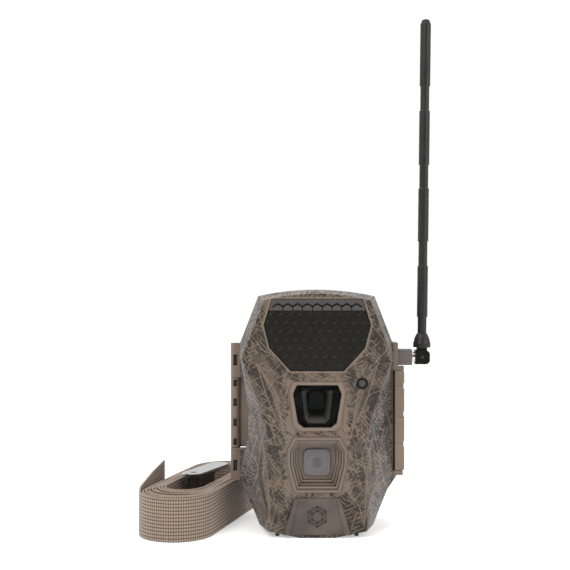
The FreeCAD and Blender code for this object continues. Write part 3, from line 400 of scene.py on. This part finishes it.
def bark_camouflage():
    """Printed bark over the case, plain round the lens and sensor, with moulded darts; painted light
    and shade on the darts, a painted sheen on the flanks, a painted highlight round the window.
    """
    graph = Graph("bark_camouflage")
    tan = graph.colour(*TAN)
    colour, marks = bark_pattern(graph)
    # Painted sheen: the flanks are washed grey and their stalks made paler, standing in for their
    # reflection of the bright surround
    flank_sheen_share = graph.step(graph.part("Y"), FACE_Y, FLANK_Y)
    sheen_wash = graph.maths("MULTIPLY", flank_sheen_share, graph.step(graph.noise(48.0, 2), 0.36, 0.62, 0.0, 0.36))
    colour = graph.mix(colour, graph.colour(*FLANK_SHEEN_GREY), sheen_wash)
    stalk = graph.mix(graph.colour(*STALK), graph.colour(*FLANK_SHEEN_STALK), flank_sheen_share)
    colour = graph.mix(colour, stalk, marks)
    front = graph.front_plane()
    relief = 0.0
    for outline in (UPPER_DART, LOWER_DART):
        colour, rise = moulded_dart(graph, front, colour, outline)
        relief = graph.maths("ADD", relief, rise)
    # Painted highlight: a pale line round the window's lip
    colour = graph.mix(colour, tan, graph.maths("MULTIPLY", window_edge_highlight(graph, front), 0.85))
    colour = graph.mix(colour, tan, graph.maths("MULTIPLY", plain_zone(graph), 0.85))
    colour = graph.mix(colour, tan, hardware(graph))
    pebble = graph.maths("MULTIPLY", graph.noise(2400.0, 2), 0.016 * MM)
    height = graph.maths("ADD", relief, pebble)
    gloss = graph.step(graph.noise(160.0, 2), 0.3, 0.7, 0.44, 0.56)
    return graph.finish(colour, gloss, graph.bump(height, 1.0, 1.0), Specular_IOR_Level=0.32)


# The motion sensor's funnel: its right half in |x| and z in mm, carried past the middle plane,
# and the widths of its rim and of each tread
FUNNEL = ((-20.0, 26.2), (13.1, 26.2), (17.1, 42.0), (17.1, 50.0), (13.1, 57.7), (-20.0, 57.7))
FUNNEL_RIM = 1.5 * MM
FUNNEL_TREAD = 1.45 * MM
FUNNEL_TREADS = 4


def stepped_plastic():
    """Tan plastic with painted shade at the foot of each of the funnel's steps and a painted highlight
    along each step's edge.
    """
    graph = Graph("painted_step_tan")
    depth = inside_of(graph, graph.front_plane(), [(x * MM, z * MM) for x, z in FUNNEL])
    tread = graph.maths("DIVIDE", graph.maths("SUBTRACT", depth, FUNNEL_RIM), FUNNEL_TREAD)
    share = graph.maths("FRACT", tread)
    stepped = graph.maths("MULTIPLY", graph.step(tread, 0.0, 0.1),
                          graph.step(tread, FUNNEL_TREADS - 0.1, FUNNEL_TREADS, 1.0, 0.0))
    # Painted shade at the foot of each step
    foot = graph.maths("MULTIPLY", graph.step(share, 0.05, 0.60, 1.0, 0.0), stepped)
    # Painted highlight along each step's edge
    edge = graph.maths("MULTIPLY", graph.step(share, 0.66, 0.86), stepped)
    drift = graph.noise(90.0, 3)
    base = graph.mix(graph.tone(TAN, 0.75), graph.tone(TAN, 0.95), drift)
    colour = graph.mix(base, graph.colour(*BARK_DARK), graph.maths("MULTIPLY", foot, 0.70))
    colour = graph.mix(colour, graph.tone(TAN, 1.5), graph.maths("MULTIPLY", edge, 0.8))
    return graph.finish(colour, 0.5, graph.bump(graph.noise(2600.0, 2), 0.35, 0.00005))


# Height of the window's top strip, painted grey as a painted reflection of the light from above
LIT_BAND = 6.7 * MM


def window_plastic():
    """Near-black infrared filter, glossy, with its top band painted grey as a painted reflection of the
    light from above.
    """
    graph = Graph("window_black")
    band_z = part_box("ir_window")[1].z - LIT_BAND
    band = graph.step(graph.part("Z"), band_z, band_z + 0.2 * MM)
    smoke = graph.noise(120.0, 3)
    black = graph.mix(graph.colour(0.008, 0.008, 0.006), graph.colour(0.013, 0.012, 0.010), smoke)
    # Painted reflection: the top band is lighter grey
    grey = graph.mix(graph.colour(0.055, 0.050, 0.049), graph.colour(0.082, 0.073, 0.072), smoke)
    gloss = graph.step(graph.noise(300.0, 2), 0.3, 0.7, 0.24, 0.34)
    return graph.finish(graph.mix(black, grey, band), gloss, Specular_IOR_Level=0.14)


# Heights of the shallow grooves across the latch, painted as shade lines, and half their width
LATCH_GROOVES = (85.1 * MM, 66.4 * MM, 50.8 * MM)
GROOVE_HALF = 0.35 * MM


def grooved_plastic():
    """Tan plastic crossed by the latch's shallow grooves, painted as shade lines, each with a painted
    highlight along its lower lip.
    """
    graph = Graph("painted_groove_tan")
    drift = graph.noise(70.0, 3)
    colour = graph.mix(graph.tone(TAN, 0.95), graph.tone(TAN, 1.25), drift)
    for height in LATCH_GROOVES:
        offset = graph.maths("SUBTRACT", graph.part("Z"), height)
        # Painted shade in each groove, and a painted highlight just below it
        groove = graph.step(graph.maths("ABSOLUTE", offset), GROOVE_HALF * 0.5, GROOVE_HALF, 1.0, 0.0)
        below = graph.step(graph.maths("ABSOLUTE", graph.maths("ADD", offset, 2.4 * GROOVE_HALF)),
                           GROOVE_HALF, 2 * GROOVE_HALF, 1.0, 0.0)
        colour = graph.mix(colour, graph.colour(*BARK_BROWN), graph.maths("MULTIPLY", groove, 0.55))
        colour = graph.mix(colour, graph.tone(TAN, 1.5), graph.maths("MULTIPLY", below, 0.5))
    return graph.finish(colour, 0.5, graph.bump(graph.noise(2600.0, 2), 0.35, 0.00005))


def hood_plastic():
    """Black shroud with painted light: its flared side walls and floor are painted grey just inside the
    mouth, and it is painted black towards the throat and under the roof as painted shade.
    """
    graph = Graph("hood_black")
    low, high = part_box("lens_hood")
    depth, height = graph.part("Y"), graph.part("Z")
    # Painted light: grey just inside the mouth, fading towards the throat
    mouth_light = graph.maths("MULTIPLY", graph.step(depth, low.y + 0.3 * MM, low.y + 0.7 * MM),
                        graph.step(depth, low.y + 3.0 * MM, high.y - 1.0 * MM, 1.0, 0.0))
    arms = graph.step(graph.maths("ABSOLUTE", graph.part("X")), 3.0 * MM, 6.5 * MM)
    ground = graph.step(height, low.z + 3.5 * MM, low.z + 8.5 * MM, 1.0, 0.0)
    # Painted shade under the roof
    roof = graph.step(height, high.z - 6.0 * MM, high.z - 3.4 * MM, 1.0, 0.0)
    lit = graph.maths("MULTIPLY", graph.maths("MAXIMUM", arms, ground), roof)
    grain = graph.noise(400.0, 2)
    black = graph.mix(graph.colour(0.004, 0.004, 0.003), graph.colour(0.007, 0.007, 0.006), grain)
    # The painted light's grey
    grey = graph.mix(graph.colour(0.105, 0.100, 0.096), graph.colour(0.135, 0.130, 0.124), grain)
    colour = graph.mix(black, grey, graph.maths("MULTIPLY", lit, mouth_light))
    return graph.finish(colour, 0.45, graph.bump(grain, 0.2, 0.00003), Specular_IOR_Level=0.12)


# Spacing of the sensor lens's rings
RING_PITCH = 1.1 * MM


def milky_lens():
    """Milky polythene with fine concentric rings and a darker middle."""
    graph = Graph("milky_lens")
    low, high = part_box("pir_lens")
    centre = (low + high) / 2
    away = graph.add("ShaderNodeVectorMath", {0: graph.place}, operation="SUBTRACT")
    away.inputs[1].default_value = centre
    flat = graph.turned(scale=(1, 0, 1), vector=away.outputs[0])
    distance = graph.add("ShaderNodeVectorMath", {0: flat}, operation="LENGTH").outputs["Value"]
    rings = graph.maths("SINE", graph.maths("MULTIPLY", distance, 2 * math.pi / RING_PITCH))
    core = graph.step(distance, 2.6 * MM, 3.4 * MM)
    colour = graph.mix(graph.colour(0.080, 0.073, 0.076), graph.colour(0.122, 0.108, 0.112), core)
    return graph.finish(colour, 0.34, graph.bump(rings, 0.4, 0.00008), Subsurface_Weight=0.1)


def circuit_board():
    """Green solder mask over faint copper tracks."""
    graph = Graph("circuit_board")
    tracks = graph.step(graph.voronoi(260.0, feature="DISTANCE_TO_EDGE"), 0.02, 0.05)
    colour = graph.mix(graph.colour(0.05, 0.16, 0.06), graph.colour(0.012, 0.075, 0.030), tracks)
    return graph.finish(colour, 0.35, graph.bump(tracks, 0.3, 0.00004))


# Spacing of the yarns that cross the webbing
YARN_PITCH = 1.4 * MM


def webbing():
    """Flat polypropylene webbing: ribs along its length, crossed by yarns, with dark gaps."""
    graph = Graph("webbing")
    cloth = graph.add("ShaderNodeUVMap", uv_map="weave").outputs["UV"]
    run = graph.part("X", cloth)
    rise = graph.part("Y", cloth)
    rows = graph.maths("SINE", graph.maths("MULTIPLY", rise, math.pi * (RIBS + 0.5) / WEBBING_WIDTH))
    columns = graph.maths("SINE", graph.maths("MULTIPLY", run, math.pi / YARN_PITCH))
    columns = graph.maths("ABSOLUTE", columns)
    lift = graph.maths("MULTIPLY", graph.maths("ABSOLUTE", rows), columns)
    gap = graph.step(lift, 0.10, 0.42)
    fibre = graph.noise(1.0, 2, graph.turned(scale=(400, 6000, 1), vector=cloth))
    yarn = graph.mix(graph.colour(0.215, 0.158, 0.116), graph.colour(0.400, 0.302, 0.226), fibre)
    colour = graph.mix(graph.colour(0.040, 0.026, 0.018), yarn, gap)
    height = graph.maths("ADD", lift, graph.maths("MULTIPLY", fibre, 0.3))
    return graph.finish(colour, 0.78, graph.bump(height, 0.8, 0.0003), Sheen_Weight=0.15)


def clear_glass(name, tint, roughness=0.0):
    """Thin clear window material with a faint smear."""
    graph = Graph(name)
    smear = graph.step(graph.noise(90.0, 3), 0.3, 0.7, roughness, roughness + 0.02)
    colour = graph.mix(graph.colour(*tint), graph.tone(tint, 0.96), graph.noise(30.0))
    return graph.finish(colour, smear, Transmission_Weight=1.0, IOR=1.05, Specular_IOR_Level=0.15)


def make_materials():
    """Every material, by the record's slot name or by a name of its own."""
    return {
        "camo": bark_camouflage(),
        "tan_plastic": moulded("tan_plastic", TAN, 0.5, spread=0.06),
        "steel": brushed_metal("steel", (0.55, 0.55, 0.54), 0.32),
        "blackened_steel": moulded("blackened_steel", (0.012, 0.012, 0.012), 0.40, depth=0.0),
        # Near-black for the painted shadow line over the window's top row of tiles
        "comb_shadow_black": moulded("comb_shadow_black", (0.003, 0.003, 0.003), 0.7, depth=0.0,
                              Specular_IOR_Level=0.05),
        "painted_step_tan": stepped_plastic(),
        "painted_groove_tan": grooved_plastic(),
        "sensor_glass": moulded("sensor_glass", (0.030, 0.027, 0.025), 0.15, depth=0.0),
        "rubber": moulded("black_rubber", (0.02, 0.02, 0.02), 0.75),
        "brass": brushed_metal("brass", (0.62, 0.44, 0.18), 0.3),
        "window_black": window_plastic(),
        "circuit_board": circuit_board(),
        "emitter": moulded("emitter_epoxy", (0.03, 0.02, 0.05), 0.12),
        "clear_glass": clear_glass("clear_glass", (0.80, 0.81, 0.79)),
        "hood_black": hood_plastic(),
        "lens_glass": moulded("coated_lens", (0.004, 0.005, 0.007), 0.10, depth=0.0,
                              Specular_IOR_Level=0.12),
        "milky_lens": milky_lens(),
        "badge": moulded("badge_plastic", (0.078, 0.059, 0.045), 0.38, spread=0.25),
        "badge_dark": moulded("badge_dark", (0.034, 0.026, 0.020), 0.42),
        "antenna_boss": moulded("boss_plastic", (0.092, 0.077, 0.070), 0.48),
        "plated": brushed_metal("nickel", (0.72, 0.68, 0.62), 0.22),
        "cable_black": moulded("cable_jacket", (0.02, 0.02, 0.02), 0.4),
        "panel_grey": moulded("panel_grey", (0.045, 0.045, 0.045), 0.55),
        "screen": moulded("screen_glass", (0.010, 0.013, 0.016), 0.08, depth=0.0),
        "key_rubber": moulded("key_rubber", (0.12, 0.12, 0.12), 0.65),
        "socket_steel": brushed_metal("socket_steel", (0.62, 0.62, 0.62), 0.3),
        "card_plastic": moulded("card_plastic", (0.02, 0.03, 0.09), 0.4),
        "tray_black": moulded("tray_plastic", (0.025, 0.025, 0.025), 0.5),
        "cell_jacket": moulded("cell_sleeve", (0.035, 0.04, 0.05), 0.3),
        "antenna_black": moulded("elbow_plastic", (0.005, 0.005, 0.004), 0.42, Specular_IOR_Level=0.12),
        "antenna_rubber": moulded("antenna_rubber", (0.016, 0.013, 0.012), 0.40,
                                  Specular_IOR_Level=0.28),
        "webbing": webbing(),
        "buckle_black": moulded("buckle_plastic", (0.014, 0.013, 0.014), 0.10, depth=0.0, IOR=1.75,
                                Coat_Weight=0.7),
    }


# Nodes whose material is told apart from the rest of their slot by painted shade and painted highlights
OWN_MATERIAL = {"pir_bezel": "painted_step_tan", "latch_lever": "painted_groove_tan"}


def dress_nodes(materials):
    """Give every carried-over CAD node its material."""
    slots = {entry["node"]: entry["material_slot"] for entry in frame["record"]["subparts"]}
    for name, node in NODES.items():
        for slot in node.material_slots:
            slot.material = materials[OWN_MATERIAL.get(name, slots[name])]


# ---------------------------------------------------------------- mesh helpers

def new_piece(name, mesh, material, body):
    """A finished piece that rides on a body."""
    piece = bpy.data.objects.new(name, mesh)
    bpy.context.collection.objects.link(piece)
    piece.data.materials.append(material)
    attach(piece, body)
    return piece


def mesh_from(build, name):
    """A mesh written by a bmesh function."""
    work = bmesh.new()
    build(work)
    bmesh.ops.recalc_face_normals(work, faces=work.faces)
    mesh = bpy.data.meshes.new(name)
    work.to_mesh(mesh)
    work.free()
    return mesh


# ---------------------------------------------------------------- infrared window relief

def window_outline():
    """The window's outline in x and z, from its box and its proportions."""
    low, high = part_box("ir_window")
    half = (high.x - low.x) / 2
    height = high.z - low.z
    shape = ((0.497, 0.0), (0.892, 0.322), (1.0, 0.637), (0.85, 1.0))
    right = [(half * x, low.z + height * z) for x, z in shape]
    return right + [(-x, z) for x, z in reversed(right)]


def hexagon(work, x, z, radius, front, back):
    """A raised six-sided tile with a chamfered rim."""
    rings = []
    for size, y in ((radius, back), (radius, front + 0.12 * MM), (radius - 0.28 * MM, front)):
        ring = []
        for i in range(6):
            angle = math.radians(60 * i + 30)
            ring.append(work.verts.new((x + size * math.cos(angle), y, z + size * math.sin(angle))))
        rings.append(ring)
    for lower, upper in zip(rings, rings[1:]):
        for i in range(6):
            j = (i + 1) % 6
            work.faces.new((lower[i], lower[j], upper[j], upper[i]))
    work.faces.new(rings[-1])
    work.faces.new(rings[0])


def trim(work, outline, inset):
    """Cut everything off outside a convex outline drawn in by an inset."""
    middle = Vector((0, 0, sum(z for _, z in outline) / len(outline)))
    for (x1, z1), (x2, z2) in zip(outline, outline[1:] + outline[:1]):
        start, end = Vector((x1, 0, z1)), Vector((x2, 0, z2))
        normal = (end - start).cross(Vector((0, 1, 0))).normalized()
        if normal.dot(middle - start) > 0:
            normal = -normal
        everything = work.verts[:] + work.edges[:] + work.faces[:]
        made = bmesh.ops.bisect_plane(work, geom=everything, plane_co=start - normal * inset,
                                      plane_no=normal, clear_outer=True)
        rim = [item for item in made["geom_cut"] if isinstance(item, bmesh.types.BMEdge)]
        bmesh.ops.edgeloop_fill(work, edges=rim)


HEX_PITCH = 5.63 * MM
HEX_ROW = HEX_PITCH * math.sqrt(3) / 2
HEX_REACH = HEX_PITCH / math.sqrt(3)
HEX_TOP = 6.05 * MM
HEX_PROUD = 0.30 * MM


def hex_tiles(work):
    """A honeycomb of raised tiles over the window, below its top strip that is painted grey as painted
    reflection.
    """
    low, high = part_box("ir_window")
    front = low.y - HEX_PROUD
    for row in range(9):
        z = high.z - HEX_TOP - row * HEX_ROW
        shift = HEX_PITCH / 2 if row % 2 else 0
        for column in range(-6, 7):
            x = column * HEX_PITCH + shift
            hexagon(work, x, z, HEX_REACH - 0.20 * MM, front, low.y + 0.3 * MM)
    trim(work, window_outline(), 0.5 * MM)


def bar(work, start, end, width, front, back):
    """A thin straight bar between two points in x and z."""
    start, end = Vector(start), Vector(end)
    along = (end - start).normalized() * width / 2
    across = Vector((-along.y, along.x))
    corners = [start - along - across, end + along - across,
               end + along + across, start - along + across]
    rings = [[work.verts.new((p.x, y, p.y)) for p in corners] for y in (back, front)]
    for i in range(4):
        j = (i + 1) % 4
        work.faces.new((rings[0][i], rings[0][j], rings[1][j], rings[1][i]))
    work.faces.new(rings[0])
    work.faces.new(rings[1])


def comb_shadow(work):
    """Painted shadow: the dark zigzag along the top edges of the top row of tiles, and the short dark
    lines in the gaps between those tiles.
    """
    low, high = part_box("ir_window")
    front, back = low.y - HEX_PROUD - 0.05 * MM, low.y + 0.2 * MM
    centre = high.z - HEX_TOP
    top, shoulder = centre + HEX_REACH, centre + HEX_REACH / 2
    for column in range(-4, 5):
        x = column * HEX_PITCH
        for side in (-1, 1):
            bar(work, (x, top), (x + side * HEX_PITCH / 2, shoulder), 0.75 * MM, front, back)
    for column in range(-4, 4):
        x = (column + 0.5) * HEX_PITCH
        bar(work, (x, shoulder), (x, high.z - LIT_BAND), 0.30 * MM, front, back)


def make_window_relief(materials):
    """The honeycomb tiles, and the dark bars of painted shadow over their top row."""
    tiles = new_piece("ir_honeycomb", mesh_from(hex_tiles, "ir_honeycomb"), materials["window_black"],
                      "housing")
    # Painted shadow: dark bars along the tiles' top edges and in the gaps between them
    line = new_piece("ir_comb_shadow", mesh_from(comb_shadow, "ir_comb_shadow"),
                     materials["comb_shadow_black"], "housing")


BADGE_HEX = 5.6 * MM


def badge_mark(work):
    """A plain raised hexagon with a smaller one cut into it."""
    low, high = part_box("badge_plate")
    middle = Vector(((low.x + high.x) / 2, (low.z + high.z) / 2))
    for size in (BADGE_HEX, BADGE_HEX * 0.62):
        corners = [middle + size * Vector((math.cos(a), math.sin(a)))
                   for a in (math.radians(60 * i + 30) for i in range(6))]
        for start, end in zip(corners, corners[1:] + corners[:1]):
            bar(work, start, end, 0.8 * MM, low.y + 0.55 * MM, low.y + 1.0 * MM)


def make_badge_mark(materials):
    """A generic relief in the middle of the badge."""
    mark = new_piece("badge_mark", mesh_from(badge_mark, "badge_mark"), materials["badge_dark"],
                     "housing")


# ---------------------------------------------------------------- mounting strap

WEBBING_WIDTH = 25.4 * MM
STRAP_THICK = 1.15 * MM
STRAP_TURNS = 9
FREE_END = 0.150
TAIL_END = 0.300
TAIL_LIFT = 10.6 * MM
TAIL_STAND_OFF = 2.0 * MM
ROLL_TURN = math.radians(73)
ROLL_PLACE = Vector((-70 * MM, 17 * MM))
# Straight length, radius and centre of the outermost and the innermost lap
OUTER_LAP = (80.0 * MM, 22.5 * MM - STRAP_THICK / 2, Vector((0, 0)))
INNER_LAP = (61.5 * MM, 11.25 * MM + STRAP_THICK / 2, Vector((7.5 * MM, 0.75 * MM)))
SAMPLES_PER_TURN = 112
RIBS = 12
STEPS_PER_RIB = 4
RIB_HEIGHT = 0.12 * MM


def lap_point(turn):
    """A point and outward direction on the webbing's middle after a number of turns."""
    inwards = turn / STRAP_TURNS
    straight, radius, centre = [outer + (inner - outer) * inwards
                                for outer, inner in zip(OUTER_LAP, INNER_LAP)]
    bend = math.pi * radius
    distance = (turn % 1.0) * 2 * (straight + bend)
    side = 1 if distance < straight + bend else -1
    distance -= 0 if side > 0 else straight + bend
    if distance < straight:
        out = Vector((0, side))
        point = Vector((side * (straight / 2 - distance), side * radius))
    else:
        angle = math.pi / 2 + (distance - straight) / radius
        out = side * Vector((math.cos(angle), math.sin(angle)))
        point = Vector((-side * straight / 2, 0)) + out * radius
    return centre + point, out


def tail_shape(turn):
    """How far the free end stands off the roll and lifts from the floor."""
    free = max(0.0, 1 - (turn - FREE_END) / (TAIL_END - FREE_END))
    return TAIL_STAND_OFF * min(1.0, 1.6 * free), TAIL_LIFT * free


def strap_ring(point, out, turn, lift):
    """Places round the webbing's cross-section, with how far up the webbing each one is."""
    cos, sin = math.cos(ROLL_TURN), math.sin(ROLL_TURN)
    sag = 0.25 * MM * math.sin(turn * 9.0) + 0.15 * MM * math.sin(turn * 23.0 + 1.0)
    steps = RIBS * STEPS_PER_RIB
    for side in (1, -1):
        for k in range(steps + 1):
            share = k / steps if side > 0 else 1 - k / steps
            rib = RIB_HEIGHT * (abs(math.sin(math.pi * RIBS * share)) - 1)
            edge = point + out * side * (STRAP_THICK / 2 + rib)
            x = ROLL_PLACE.x + edge.x * cos - edge.y * sin
            y = ROLL_PLACE.y + edge.x * sin + edge.y * cos
            z = share * (WEBBING_WIDTH + sag - 0.5 * MM) + lift
            yield (x, y, z), share * WEBBING_WIDTH


def strap_mesh():
    """The ribbed ribbon from its free end to its inner end, and its length."""
    work = bmesh.new()
    weave = work.loops.layers.uv.new("weave")
    count = round((STRAP_TURNS - FREE_END) * SAMPLES_PER_TURN)
    rings, runs, before = [], [0.0], None
    for i in range(count + 1):
        turn = FREE_END + (STRAP_TURNS - FREE_END) * i / count
        point, out = lap_point(turn)
        stand_off, lift = tail_shape(turn)
        point = point + out * stand_off
        if before is not None:
            runs.append(runs[-1] + (point - before).length)
        before = point
        rings.append([(work.verts.new(place), rise)
                      for place, rise in strap_ring(point, out, turn, lift)])
    for a, b, run_a, run_b in zip(rings, rings[1:], runs, runs[1:]):
        for k, (vertex, rise) in enumerate(a):
            n = (k + 1) % len(a)
            face = work.faces.new((vertex, a[n][0], b[n][0], b[k][0]))
            face.smooth = True
            corners = ((run_a, rise), (run_a, a[n][1]), (run_b, b[n][1]), (run_b, b[k][1]))
            for loop, corner in zip(face.loops, corners):
                loop[weave].uv = corner
    for ring in (rings[0], rings[-1]):
        work.faces.new([vertex for vertex, _ in ring])
    bmesh.ops.recalc_face_normals(work, faces=work.faces)
    mesh = bpy.data.meshes.new("strap_webbing")
    work.to_mesh(mesh)
    work.free()
    return mesh, runs[-1]


def make_strap(materials):
    """The rolled webbing as one long ribbed ribbon with thickness."""
    mesh, length = strap_mesh()
    strap = new_piece("strap_webbing", mesh, materials["webbing"], "strap")
    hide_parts("mounting_strap")
    print("strap length", round(length, 3))


# ---------------------------------------------------------------- build

make_camera()
make_studio()
make_curtain()
make_floor()
MATERIALS = make_materials()
dress_nodes(MATERIALS)
make_window_relief(MATERIALS)
make_badge_mark(MATERIALS)
make_strap(MATERIALS)
